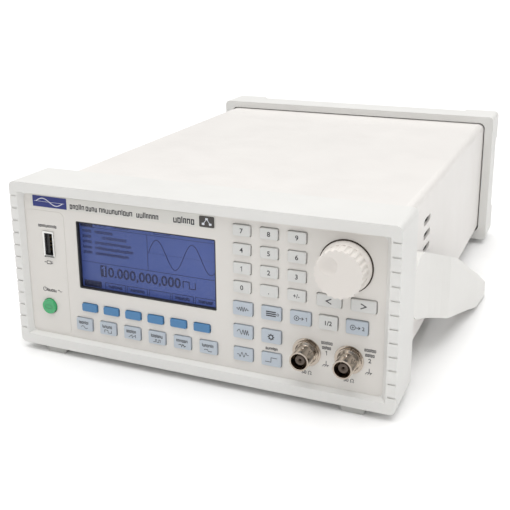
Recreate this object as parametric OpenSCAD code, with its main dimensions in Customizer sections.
// Bench function generator: half-rack case with two end bezels, a keypad front panel,
// a folding bail handle and the working parts inside.
// Origin: on the surface it stands on, at the middle of the footprint.
// +X right seen from the front, the front faces -Y, +Z up. Millimetres.

/* [Case] */
// Width of the two end bezels
bezel_w = 215; // [212:1:216]
// Height of the two end bezels
bezel_h = 94; // [93.5:0.5:96]
// Depth from the front bezel's face to the back of the rear bezel
case_d = 300; // [290:1:330]
// Depth of the front bezel
front_bezel_d = 32; // [30:1:38]
// Depth of the rear bezel
rear_bezel_d = 22; // [20:1:28]
// How far the case sides sit inside the bezel sides
side_step = 6.5; // [6.2:0.1:7]
// How far the case top sits below the bezel top
top_step = 5.5; // [5.3:0.1:6]
// How far the case floor sits above the bezel bottom
bottom_step = 6.5; // [6.3:0.1:7]
// Sheet thickness of the cover and the tray
sheet_t = 1.6; // [1.2:0.1:2]
// Height of the feet
foot_h = 4; // [4:0.5:6]
// How far the corner bumpers stand behind the rear bezel
bumper_d = 6; // [4:0.5:8]

/* [Front panel] */
// Depth of the panel's face behind the bezel's front
panel_y = 3; // [2.8:0.1:3.2]
// Thickness of the panel
panel_t = 2.5; // [2.3:0.1:2.6]
// Width of the display opening
display_w = 82; // [78:0.5:84]
// Height of the display opening
display_h = 38; // [36:0.5:40]
// How far the key faces stand proud of the panel
key_proud = 1.2; // [1:0.1:1.6]
// Gap round each key in the panel
key_gap = 0.35; // [0.3:0.05:0.5]
// Travel of a key
key_travel = 0.8; // [0.6:0.1:1]
// Diameter of the knob
knob_d = 23.6; // [22:0.1:24]
// How far the knob stands in front of the bezel
knob_proud = 9; // [8:0.5:12]

/* [Handle] */
// Distance of the pivot behind the bezel's front
pivot_y = 51; // [50.5:0.5:52]
// Height of the pivot above the bezel's bottom
pivot_z = 47; // [46.5:0.5:48]
// Radius of the hubs
hub_r = 17.3; // [16.5:0.1:17.6]
// Half width over the hubs
hub_x = 107; // [106.8:0.1:107.6]
// Half width over the arms where they bend
bend_x = 115.2; // [114:0.2:117]
// Half width over the ends of the arms
tip_x = 123; // [121:0.5:125]

/* [Hidden] */
$fn = 64;
fit_gap = 0.4;             // clearance of the case in the front bezel
rear_gap = 0.7;            // shadow gap round the case in the rear bezel
pivot_r = 6;               // pivot stub
pivot_gap = 0.06;          // radial running clearance of the hubs
case_w = bezel_w - 2 * side_step;
case_h = bezel_h - top_step - bottom_step;
case_mid_z = bottom_step + case_h / 2;
mid_y = (case_d + bumper_d - knob_proud) / 2;
panel_back = panel_y + panel_t;
panel_w = bezel_w - 7.4;
panel_h = bezel_h - 7.4;
lip = 3;                   // thickness of the front bezel's lip
open_w = 201;              // opening in the front bezel
open_z0 = 7;
open_z1 = bezel_h - 6.5;
display_x = -27.1;         // centre of the display
display_z = 56;
key_face = panel_y - key_proud;
flange_y = panel_back + 0.3;
flange_t = 0.8;
pad_y = flange_y + flange_t + key_travel + 0.3;
mat_y = 10;                // front of the key mat's web
board_y = 11;              // front of the keypad board
board_t = 1.6;
cover_y0 = 16;
cover_y1 = case_d - 12;
rear_panel_y = case_d - 10.5;
rear_panel_t = 2;
rear_face = rear_panel_y + rear_panel_t;
bnc_z = 23.4;              // height of the output sockets
bnc_proud = 8.3;
bnc_x = [62.2, 83.7];
rear_bnc_x = [84, 66, 48, 30];
rear_bnc_z = 25;
knob_x = 81;
knob_z = 70.5;
power_x = -88.3;
power_z = 23.5;
usb_x = -86;
usb_z = 59.8;
inlet_x = -72;
inlet_z = 32;
lan_x = 2;
usb_b_x = -26;
data_z = 28;
gpib_x = -12;
gpib_z = 62;
fan_x = 62;
fan_z = 61;
fan_y0 = rear_panel_y - 10;
main_board_z = 14;

// Front-panel keys: name, x, z, width, height, colour
white = "WhiteSmoke";
pale = "LightSteelBlue";
blue = "SteelBlue";
SOFT = [for (i = [0:5]) [str("soft_key_", i + 1), -62 + 13.5 * i, 26.6, 9.2, 4.3, blue]];
wave_names = ["key_sine", "key_square", "key_ramp", "key_pulse", "key_noise", "key_arbitrary"];
WAVE = [for (i = [0:5]) [wave_names[i], -65.9 + 15 * i, 16.3, 9.9, 7, pale]];
num_names = [["key_7", "key_8", "key_9"], ["key_4", "key_5", "key_6"],
             ["key_1", "key_2", "key_3"], ["key_0", "key_point", "key_sign"]];
NUM = [for (r = [0:3]) for (c = [0:2])
       [num_names[r][c], 28.4 + 14.3 * c, 81.8 - 9.8 * r, 9.2, 5.6, white]];
mode_names = [["key_modulation", "key_stores"], ["key_sweep", "key_utility"],
              ["key_burst", "key_trigger"]];
MODE = [for (r = [0:2]) for (c = [0:1])
        [mode_names[r][c], 28.7 + 15.2 * c, 41 - 12.4 * r, 10.4, 6.9, pale]];
OUT = [["key_output_1", 59.1, 41, 10.6, 6.9, pale],
       ["key_channel", 73.1, 41, 9.2, 7, white],
       ["key_output_2", 87.3, 41, 10.6, 6.9, pale],
       ["key_left", 73.3, 52.3, 12.2, 6.1, white],
       ["key_right", 90.2, 52.3, 12.2, 6.1, white]];
KEYS = concat(SOFT, WAVE, NUM, MODE, OUT);

// ---- shared shapes, in the front frame: y = 0 at the bezel's face, z = 0 at its bottom ----

module in_front() { translate([0, -mid_y, foot_h]) children(); }

// Box between two corners
module slab(a, b) { translate(a) cube(b - a); }

// Rounded rectangle, centred
module rrect(w, h, r) {
    square([w - 2 * r, h], center = true);
    square([w, h - 2 * r], center = true);
    for (sx = [-1, 1]) for (sz = [-1, 1])
        translate([sx * (w / 2 - r), sz * (h / 2 - r)]) circle(r);
}

// Outline in X and Z, extruded from y0 to y1
module along_y(y0, y1) {
    translate([0, y1, 0]) rotate([90, 0, 0]) linear_extrude(y1 - y0) children();
}

// Rounded bar along Y, centred on x and z
module rbar(x, z, w, h, r, y0, y1) { translate([x, 0, z]) along_y(y0, y1) rrect(w, h, r); }

// Round bar along Y
module rod(x, z, r, y0, y1) { translate([x, y1, z]) rotate([90, 0, 0]) cylinder(r = r, h = y1 - y0); }

// Box mirrored to both sides
module both_sides() { children(); mirror([1, 0, 0]) children(); }

// ---- front ----

module front_bezel() color("WhiteSmoke") in_front() difference() {
    rbar(0, bezel_h / 2, bezel_w, bezel_h, 3, 0, front_bezel_d);
    // opening over the panel, with a chamfered rim
    rbar(0, (open_z0 + open_z1) / 2, open_w, open_z1 - open_z0, 3, -1, lip + 1);
    intersection() {
        translate([0, 0, -1]) linear_extrude(bezel_h + 2)
            polygon([[-open_w / 2 - 2.3, -0.1], [open_w / 2 + 2.3, -0.1],
                     [open_w / 2, lip - 0.4], [-open_w / 2, lip - 0.4]]);
        translate([-bezel_w / 2, 0, 0]) rotate([90, 0, 90]) linear_extrude(bezel_w)
            polygon([[-0.1, open_z0 - 1.4], [-0.1, open_z1 + 0.8],
                     [lip - 0.4, open_z1], [lip - 0.4, open_z0]]);
    }
    // room for the panel and the electronics behind it
    rbar(0, bezel_h / 2, bezel_w - 7, bezel_h - 7, 2, lip, front_bezel_d - 3);
    // opening that the case slides into
    rbar(0, case_mid_z, case_w + fit_gap, case_h + fit_gap, 4, lip, front_bezel_d + 1);
    // grip grooves down both sides
    both_sides() for (i = [0:11])
        slab([open_w / 2 + 3, -1, 8.6 + 7 * i], [bezel_w / 2 + 1, 0.7, 9.5 + 7 * i]);
}

module front_panel() color("Gainsboro") in_front() difference() {
    union() {
        rbar(0, bezel_h / 2, panel_w, panel_h, 2, panel_y, panel_back);
        // raised pad under the flash-drive socket and the power button
        rbar(-87.6, 43.5, 24, 70, 3, panel_y - 0.2, panel_y + 1);
    }
    rbar(display_x, display_z, display_w, display_h, 0.8, 0, panel_back + 1);
    for (k = KEYS) rbar(k[1], k[2], k[3] + 2 * key_gap, k[4] + 2 * key_gap, 1, 0, panel_back + 1);
    rod(power_x, power_z, 4.6, 0, panel_back + 1);
    rbar(usb_x, usb_z, 6.1, 13.5, 0.5, 0, panel_back + 1);
    rod(knob_x, knob_z, 3.7, 0, panel_back + 1);
    for (x = bnc_x) rod(x, bnc_z, 4.9, 0, panel_back + 1);
}

module display_window() color("SlateBlue", 0.5) in_front()
    rbar(display_x, display_z, display_w + 6, display_h + 5.6, 1, panel_back, panel_back + 1.5);

module lcd_module() in_front() {
    color("DimGray") difference() {
        slab([display_x - 46, panel_back + 1.5, display_z - 23], [display_x + 46, 14, display_z + 23]);
        slab([display_x - 43, 0, display_z - 20.5], [display_x + 43, 8.6, display_z + 20.5]);
    }
    // display glass, a little smaller than its frame
    color("SteelBlue") slab([display_x - 42.7, panel_back + 1.5, display_z - 20.2],
                            [display_x + 42.7, 8.3, display_z + 20.2]);
}

// Outline shared by the key mat and the keypad board: below and to the right of the display
module keypad_area(y0, y1) {
    slab([-76, y0, 9], [97.5, y1, 32]);
    slab([20.5, y0, 31], [97.5, y1, 87.4]);
}

module key_mat() color("Silver") in_front() difference() {
    union() {
        keypad_area(mat_y, board_y);
        for (k = KEYS) rbar(k[1], k[2], k[3] - 1, k[4] - 1, 1, pad_y, mat_y + 0.5);
    }
    rbar(knob_x, knob_z, 14, 14, 1, 0, board_y + 1);
    for (x = bnc_x) rod(x, bnc_z, 6.5, 0, board_y + 1);
}

module keypad_board() in_front() {
    color("ForestGreen") difference() {
        keypad_area(board_y, board_y + board_t);
        for (x = bnc_x) rod(x, bnc_z, 5.4, 0, board_y + board_t + 1);
    }
    // cable header and driver chips on the back
    color("DimGray") for (x = [-40, -10, 40])
        slab([x, board_y + board_t, 14], [x + 14, board_y + board_t + 1.6, 22]);
    // side board that carries the flash-drive socket and the power switch
    color("ForestGreen") slab([-97, 17, 12], [-77.5, 18.6, 80]);
    color("DimGray") slab([power_x - 6, 9.4, power_z - 6], [power_x + 6, 17, power_z + 6]);
}

module usb_socket() in_front() {
    color("Silver") difference() {
        rbar(usb_x, usb_z, 5.7, 13.1, 0.3, panel_y - 0.6, 17);
        rbar(usb_x, usb_z, 5.1, 12.5, 0.3, 0, 16.6);
    }
    color("White") slab([usb_x - 2.2, panel_y + 1, usb_z - 5.6], [usb_x - 0.4, 16.6, usb_z + 5.6]);
}

module power_button() color("MediumSeaGreen") in_front() {
    rod(power_x, power_z, 4.25, panel_y - 1.8, flange_y);
    rod(power_x, power_z, 5.4, flange_y, flange_y + flange_t);
}

module encoder_body() color("DarkGray") in_front() difference() {
    union() {
        slab([knob_x - 6.5, panel_back, knob_z - 6.5], [knob_x + 6.5, board_y, knob_z + 6.5]);
        rod(knob_x, knob_z, 3.5, panel_y - 3.5, panel_back + 1);
    }
    rod(knob_x, knob_z, 3.05, panel_y - 4, board_y - 1);
}

module knob() color("Linen") in_front() difference() {
    union() {
        rod(knob_x, knob_z, knob_d / 2, -knob_proud, 0);
        translate([knob_x, 1.4, knob_z]) rotate([90, 0, 0]) cylinder(r1 = 12.7, r2 = knob_d / 2, h = 2.4);
        rod(knob_x, knob_z, 12.7, 1.4, panel_y - 0.4);
        rod(knob_x, knob_z, 3, 0, board_y - 1.3);
    }
    // scalloped grip
    for (i = [0:23]) translate([knob_x, 0, knob_z]) rotate([0, 15 * i, 0])
        translate([knob_d / 2 + 0.7, 0, 0]) rod(0, 0, 1.25, -knob_proud - 1, -1);
    // finger dimple
    translate([knob_x - 5, -knob_proud - 5.3, knob_z + 3.7]) sphere(r = 7);
    // clearance round the encoder's bushing
    difference() {
        rod(knob_x, knob_z, 5.5, -2, panel_y);
        rod(knob_x, knob_z, 3, -3, panel_y + 1);
    }
}

// One key: cap through the panel and a flange that keeps it in
module key(k) color(k[5]) in_front() {
    rbar(k[1], k[2], k[3], k[4], 0.8, key_face, flange_y);
    rbar(k[1], k[2], k[3] + 1.6, k[4] + 1.6, 0.8, flange_y, flange_y + flange_t);
}

// Bayonet socket, mouth at y = 0 facing -Y, collar on a panel face at y = reach
module bnc_shell(reach) {
    difference() {
        union() {
            rod(0, 0, 4.83, 0, reach - 1.4);
            // cone, shoulder and washer against the panel
            translate([0, reach - 1.5, 0]) rotate([90, 0, 0]) cylinder(r1 = 5.7, r2 = 4.9, h = 1.8);
            rod(0, 0, 6.2, reach - 1.5, reach - 0.5);
            rod(0, 0, 7.3, reach - 0.5, reach);
            rod(0, 0, 4.7, reach, reach + 16);
            for (s = [-1, 1]) translate([0, 5, 0]) rotate([s * 90 - 90, 0, 0])
                cylinder(r = 0.95, h = 5.6);
        }
        rod(0, 0, 4.065, -1, reach - 2);
    }
    // fixing nut behind the panel
    difference() {
        translate([0, reach + panel_t + 2.4, 0]) rotate([90, 0, 0]) cylinder(r = 6.4, h = 2.4, $fn = 6);
        rod(0, 0, 4.7, 0, reach + 20);
    }
}

// Insulator post and centre contact of a bayonet socket
module bnc_core(reach) {
    difference() {
        rod(0, 0, 2.45, 1.6, reach - 2);
        rod(0, 0, 1.1, 1, reach);
    }
    difference() {
        rod(0, 0, 1.1, 2, reach - 2);
        rod(0, 0, 0.68, 1, 7);
    }
}

module each_bnc() {
    for (x = bnc_x) translate([x, -bnc_proud, bnc_z]) children(0);
    for (x = rear_bnc_x) translate([x, rear_face + bnc_proud + panel_y, rear_bnc_z])
        mirror([0, 1, 0]) children(0);
}

module bnc_sockets() color("Tan") in_front() each_bnc() bnc_shell(bnc_proud + panel_y);

module socket_cores() color("Ivory") in_front() each_bnc() bnc_core(bnc_proud + panel_y);

// ---- inside ----

module main_board() in_front() {
    z = main_board_z;
    color("ForestGreen") slab([-90, 50, z], [90, 255, z + 1.6]);
    color("DimGray") for (x = [-60, -20, 20]) for (y = [75, 110])
        slab([x, y, z + 1.6], [x + 20, y + 20, z + 4]);
    // screening cans over the two output stages
    color("Silver") for (x = [45, 70]) slab([x, 70, z + 1.6], [x + 18, 140, z + 12]);
    // relays and a heat sink
    color("Ivory") for (y = [150, 166, 182]) slab([60, y, z + 1.6], [80, y + 10, z + 12]);
    color("DarkSlateGray") for (i = [0:5]) slab([0, 150 + 6 * i, z + 1.6], [40, 152 + 6 * i, z + 22]);
}

module power_supply() in_front() {
    z = main_board_z + 12;
    color("DarkKhaki") slab([-88, 150, z], [-20, 250, z + 1.6]);
    for (x = [-84, -24]) for (y = [154, 246]) color("Silver")
        translate([x, y, main_board_z + 1.6]) cylinder(r = 2.5, h = 10.4);
    // transformer, reservoir capacitors and choke
    color("Gold") slab([-64, 180, z + 1.6], [-34, 212, z + 27]);
    color("DarkSlateBlue") for (x = [-78, -56]) translate([x, 228, z + 1.6]) cylinder(r = 9, h = 32);
    color("Chocolate") translate([-34, 230, z + 1.6]) cylinder(r = 8, h = 14);
    color("Silver") slab([-86, 160, z + 1.6], [-83, 212, z + 34]);
}

// ---- case ----

module top_cover() color("WhiteSmoke") in_front() difference() {
    rbar(0, case_mid_z, case_w, case_h, 4, cover_y0, cover_y1);
    rbar(0, case_mid_z, case_w - 2 * sheet_t, case_h - 2 * sheet_t, 4 - sheet_t, 0, case_d);
    slab([-case_w, 0, 0], [case_w, case_d, bottom_step + 4]);
    // air vents in both sides, above the arms
    both_sides() for (i = [0:2]) translate([0, 0, 55 + 8 * i]) {
        slab([90, 81, -2], [110, 93, 2]);
        for (y = [81, 93]) translate([90, y, 0]) rotate([0, 90, 0]) cylinder(r = 2, h = 20);
    }
    translate([-110, pivot_y, pivot_z]) rotate([0, 90, 0]) cylinder(r = pivot_r + 0.6, h = 220);
}

module bottom_tray() color("Silver") in_front() {
    w = case_w / 2 - sheet_t;
    difference() {
        union() {
            slab([-w, cover_y0, bottom_step], [w, cover_y1, bottom_step + sheet_t]);
            both_sides() {
                slab([w - sheet_t, cover_y0, bottom_step], [w, cover_y1, 24]);
                // side ears that carry the handle's pivots
                slab([w - sheet_t, pivot_y - 16, bottom_step], [w, pivot_y + 16, pivot_z + 12]);
                translate([w - sheet_t, pivot_y, pivot_z]) rotate([0, 90, 0])
                    cylinder(r = pivot_r, h = hub_x - 2 - w + sheet_t);
            }
            for (x = [-84, 0, 84]) for (y = [56, 249]) translate([x, y, bottom_step])
                cylinder(r = 3, h = main_board_z - bottom_step);
        }
        // floor vents and the floor screws' holes
        for (i = [0:7]) slab([-55, 100 + 12 * i, 0], [55, 104 + 12 * i, bottom_step + 2]);
        for (x = [-70, 70]) for (y = [60, 240]) translate([x, y, 0]) cylinder(r = 1.6, h = 12);
    }
}

// Four M3 places near the rear panel's corners, and the fan's four
module rear_screw_places() {
    for (x = [-90, 90]) for (z = [15, 79]) translate([x, 0, z]) children();
    for (x = [-16, 16]) for (z = [-16, 16]) translate([fan_x + x, 0, fan_z + z]) children();
}

module inlet_outline(w, h) {
    c = 3.6;
    polygon([[-w / 2, -h / 2], [w / 2, -h / 2], [w / 2, h / 2 - c], [w / 2 - c, h / 2],
             [-w / 2 + c, h / 2], [-w / 2, h / 2 - c]]);
}

module rear_panel() color("LightGray") in_front() difference() {
    rbar(0, case_mid_z, case_w, case_h, 4, rear_panel_y, rear_face);
    slab([inlet_x - 13.6, 0, inlet_z - 10.1], [inlet_x + 13.6, case_d, inlet_z + 10.1]);
    for (x = rear_bnc_x) rod(x, rear_bnc_z, 4.9, 0, case_d);
    slab([lan_x - 8.1, 0, data_z - 6.9], [lan_x + 8.1, case_d, data_z + 6.9]);
    slab([usb_b_x - 6.1, 0, data_z - 5.6], [usb_b_x + 6.1, case_d, data_z + 5.6]);
    slab([gpib_x - 29.1, 0, gpib_z - 7.1], [gpib_x + 29.1, case_d, gpib_z + 7.1]);
    // finger guard over the fan
    for (i = [-3:3]) {
        half = sqrt(18 * 18 - pow(5 * i, 2));
        slab([fan_x - half, 0, fan_z + 5 * i - 1.6], [fan_x + half, case_d, fan_z + 5 * i + 1.6]);
    }
    rear_screw_places() rod(0, 0, 1.6, 0, case_d);
}

module rear_bezel() color("WhiteSmoke") in_front() difference() {
    union() {
        rbar(0, bezel_h / 2, bezel_w, bezel_h, 3, case_d - rear_bezel_d, case_d);
        // corner bumpers, to stand the case on its back
        for (x = [-1, 1]) for (z = [-1, 1])
            rbar(x * (bezel_w / 2 - 13), bezel_h / 2 + z * (bezel_h / 2 - 11), 26, 22, 3,
                 case_d - 2, case_d + bumper_d);
    }
    rbar(0, case_mid_z, case_w + 2 * rear_gap, case_h + 2 * rear_gap, 4, 0, rear_face);
    rbar(0, case_mid_z, case_w - 9, case_h - 7, 3, 0, case_d + bumper_d + 1);
}

module fan_frame() color("DimGray") in_front() {
    difference() {
        rbar(fan_x, fan_z, 40, 40, 2.5, fan_y0, rear_panel_y);
        rod(fan_x, fan_z, 19, 0, case_d);
        for (x = [-16, 16]) for (z = [-16, 16]) rod(fan_x + x, fan_z + z, 1.7, 0, case_d);
    }
    // motor plate with its bearing tube, held by four spokes
    difference() {
        union() {
            rod(fan_x, fan_z, 8, fan_y0 + 7.2, rear_panel_y);
            rod(fan_x, fan_z, 2.5, fan_y0 + 1.9, fan_y0 + 8);
            for (a = [45:90:315]) translate([fan_x, 0, fan_z]) rotate([0, a, 0])
                slab([6, fan_y0 + 8, -1], [20.5, rear_panel_y, 1]);
        }
        rod(fan_x, fan_z, 1.04, 0, fan_y0 + 8.2);
    }
}

module fan_rotor() color("Black") in_front() {
    difference() {
        rod(fan_x, fan_z, 9.5, fan_y0 + 0.4, fan_y0 + 6.8);
        rod(fan_x, fan_z, 8.3, fan_y0 + 1.5, fan_y0 + 7);
    }
    rod(fan_x, fan_z, 1, fan_y0 + 0.8, fan_y0 + 7.9);
    for (i = [0:6]) translate([fan_x, fan_y0 + 3.6, fan_z]) rotate([0, i * 360 / 7, 0])
        rotate([35, 0, 0]) slab([8.8, -0.6, -3.6], [17.8, 0.6, 3.6]);
}

module mains_inlet() in_front() {
    color("DimGray") difference() {
        union() {
            rbar(inlet_x, inlet_z, 27, 20, 1, rear_face - 23, rear_face);
            rbar(inlet_x, inlet_z, 31, 24, 2, rear_face, rear_face + 1.6);
        }
        translate([inlet_x, 0, inlet_z]) along_y(rear_face - 15.4, case_d) inlet_outline(24, 16.6);
    }
    color("Silver") for (p = [[-7, -2], [7, -2], [0, 2]]) translate([inlet_x + p[0], 0, inlet_z + p[1]])
        slab([-1, rear_face - 15.4, -2], [1, rear_face - 0.6, 2]);
}

module data_sockets() in_front() {
    // network socket
    color("Silver") difference() {
        slab([lan_x - 8, rear_face - 21, data_z - 6.75], [lan_x + 8, rear_face + 0.8, data_z + 6.75]);
        slab([lan_x - 5.9, rear_face - 14, data_z - 4.6], [lan_x + 5.9, case_d, data_z + 4]);
    }
    // computer-link socket with its square post
    color("Silver") difference() {
        slab([usb_b_x - 6, rear_face - 16, data_z - 5.45], [usb_b_x + 6, rear_face + 0.8, data_z + 5.45]);
        slab([usb_b_x - 4.2, rear_face - 11, data_z - 3.9], [usb_b_x + 4.2, case_d, data_z + 3.9]);
    }
    color("White") slab([usb_b_x - 2.8, rear_face - 11, data_z - 1.6],
                        [usb_b_x + 2.8, rear_face - 1, data_z + 1.6]);
    // ribbon-contact bus socket
    color("DimGray") rbar(gpib_x, gpib_z, 58, 14, 1, rear_face - 14, rear_face + 1);
    color("Silver") difference() {
        rbar(gpib_x, gpib_z, 40, 11.6, 2.5, rear_face + 1, rear_face + 7);
        rbar(gpib_x, gpib_z, 38.4, 10, 2, rear_face, case_d + 10);
    }
    color("SteelBlue") rbar(gpib_x, gpib_z, 34, 3.6, 1, rear_face + 1, rear_face + 6.4);
    color("Silver") for (x = [-24.5, 24.5]) rod(gpib_x + x, gpib_z, 2.6, rear_face + 1, rear_face + 5);
}

// ---- handle ----

// Tapered bar between two circles, in Y and Z
module taper(a, ra, b, rb) {
    d = norm(b - a);
    t = atan2(b[1] - a[1], b[0] - a[0]);
    s = acos((ra - rb) / d);
    p = [for (k = [1, -1]) [cos(t + k * s), sin(t + k * s)]];
    polygon([a + ra * p[0], b + rb * p[0], b + rb * p[1], a + ra * p[1]]);
    translate(a) circle(ra);
    translate(b) circle(rb);
}

module handle() color("Snow") in_front() {
    bend = [pivot_y + 39.5, pivot_z - 14.7];
    heel = [pivot_y + 97, 4];
    tip = [pivot_y + 126, 0.4];
    both_sides() difference() {
        intersection() {
            // side view of an arm: even width from the hub to the bend, then a taper
            translate([100, 0, 0]) rotate([90, 0, 90]) linear_extrude(30) {
                taper([pivot_y, pivot_z], hub_r, bend, hub_r - 0.4);
                taper(bend, hub_r - 0.4, heel, 4.6);
                taper(bend, hub_r - 0.4, tip, 3.6);
                taper(heel, 4.6, tip, 3.6);
            }
            // plan view: the arm flares from the hub to the bend, then leans outwards
            translate([0, 0, -20]) linear_extrude(100)
                polygon([[101.4, pivot_y - 20], [hub_x - 0.8, pivot_y - 20], [hub_x - 0.6, pivot_y - 6],
                         [hub_x - 0.2, pivot_y + 6], [hub_x + 0.8, pivot_y + 15],
                         [hub_x + 2.6, pivot_y + 22], [hub_x + 5, pivot_y + 28.5],
                         [bend_x, pivot_y + 34.5],
                         [119.3, pivot_y + 77], [tip_x - 1.2, pivot_y + 94], [tip_x, pivot_y + 122],
                         [tip_x - 2.4, pivot_y + 131], [112, pivot_y + 131], [112, pivot_y + 99],
                         [109, pivot_y + 67], [103.4, pivot_y + 29], [101.4, pivot_y + 19]]);
        }
        // bearing for the case's pivot stub
        translate([100, pivot_y, pivot_z]) rotate([0, 90, 0])
            cylinder(r = pivot_r + pivot_gap, h = hub_x - 1.8 - 100);
    }
    // cross bar under the case
    translate([-113, 0, 0]) rotate([90, 0, 90]) linear_extrude(226)
        translate(tip) {
            square([3.8, 6.8], center = true);
            for (s = [-1, 1]) translate([s * 1.9, 0]) circle(3.4);
        }
}

// ---- small parts ----

// Each foot: a block whose left and right sides slope in towards the bench
module feet() color("Gray") in_front()
    for (x = [-86, 86]) for (y = [9.6, case_d - 11]) translate([x, y, 0]) intersection() {
        translate([0, 0, -foot_h]) linear_extrude(foot_h) rrect(14.8, 15, 3);
        along_y(-8, 8) polygon([[-7.4, 0], [-5.4, -foot_h], [5.4, -foot_h], [7.4, 0]]);
    }

module screw(h) {
    rod(0, 0, 1.45, -h, 0);
    difference() {
        rod(0, 0, 2.8, 0, 1.7);
        slab([-2, 0.9, -0.4], [2, 2, 0.4]);
        slab([-0.4, 0.9, -2], [0.4, 2, 2]);
    }
}

module screws() color("DarkGray") in_front() {
    rear_screw_places() translate([0, rear_face, 0]) screw(7);
    for (x = [-70, 70]) for (y = [60, 240]) translate([x, y, bottom_step])
        rotate([-90, 0, 0]) screw(5);
}

front_bezel();
front_panel();
display_window();
lcd_module();
key_mat();
keypad_board();
usb_socket();
power_button();
encoder_body();
knob();
bnc_sockets();
socket_cores();
main_board();
power_supply();
top_cover();
bottom_tray();
rear_panel();
rear_bezel();
fan_frame();
fan_rotor();
mains_inlet();
data_sockets();
handle();
feet();
screws();
for (k = KEYS) key(k);
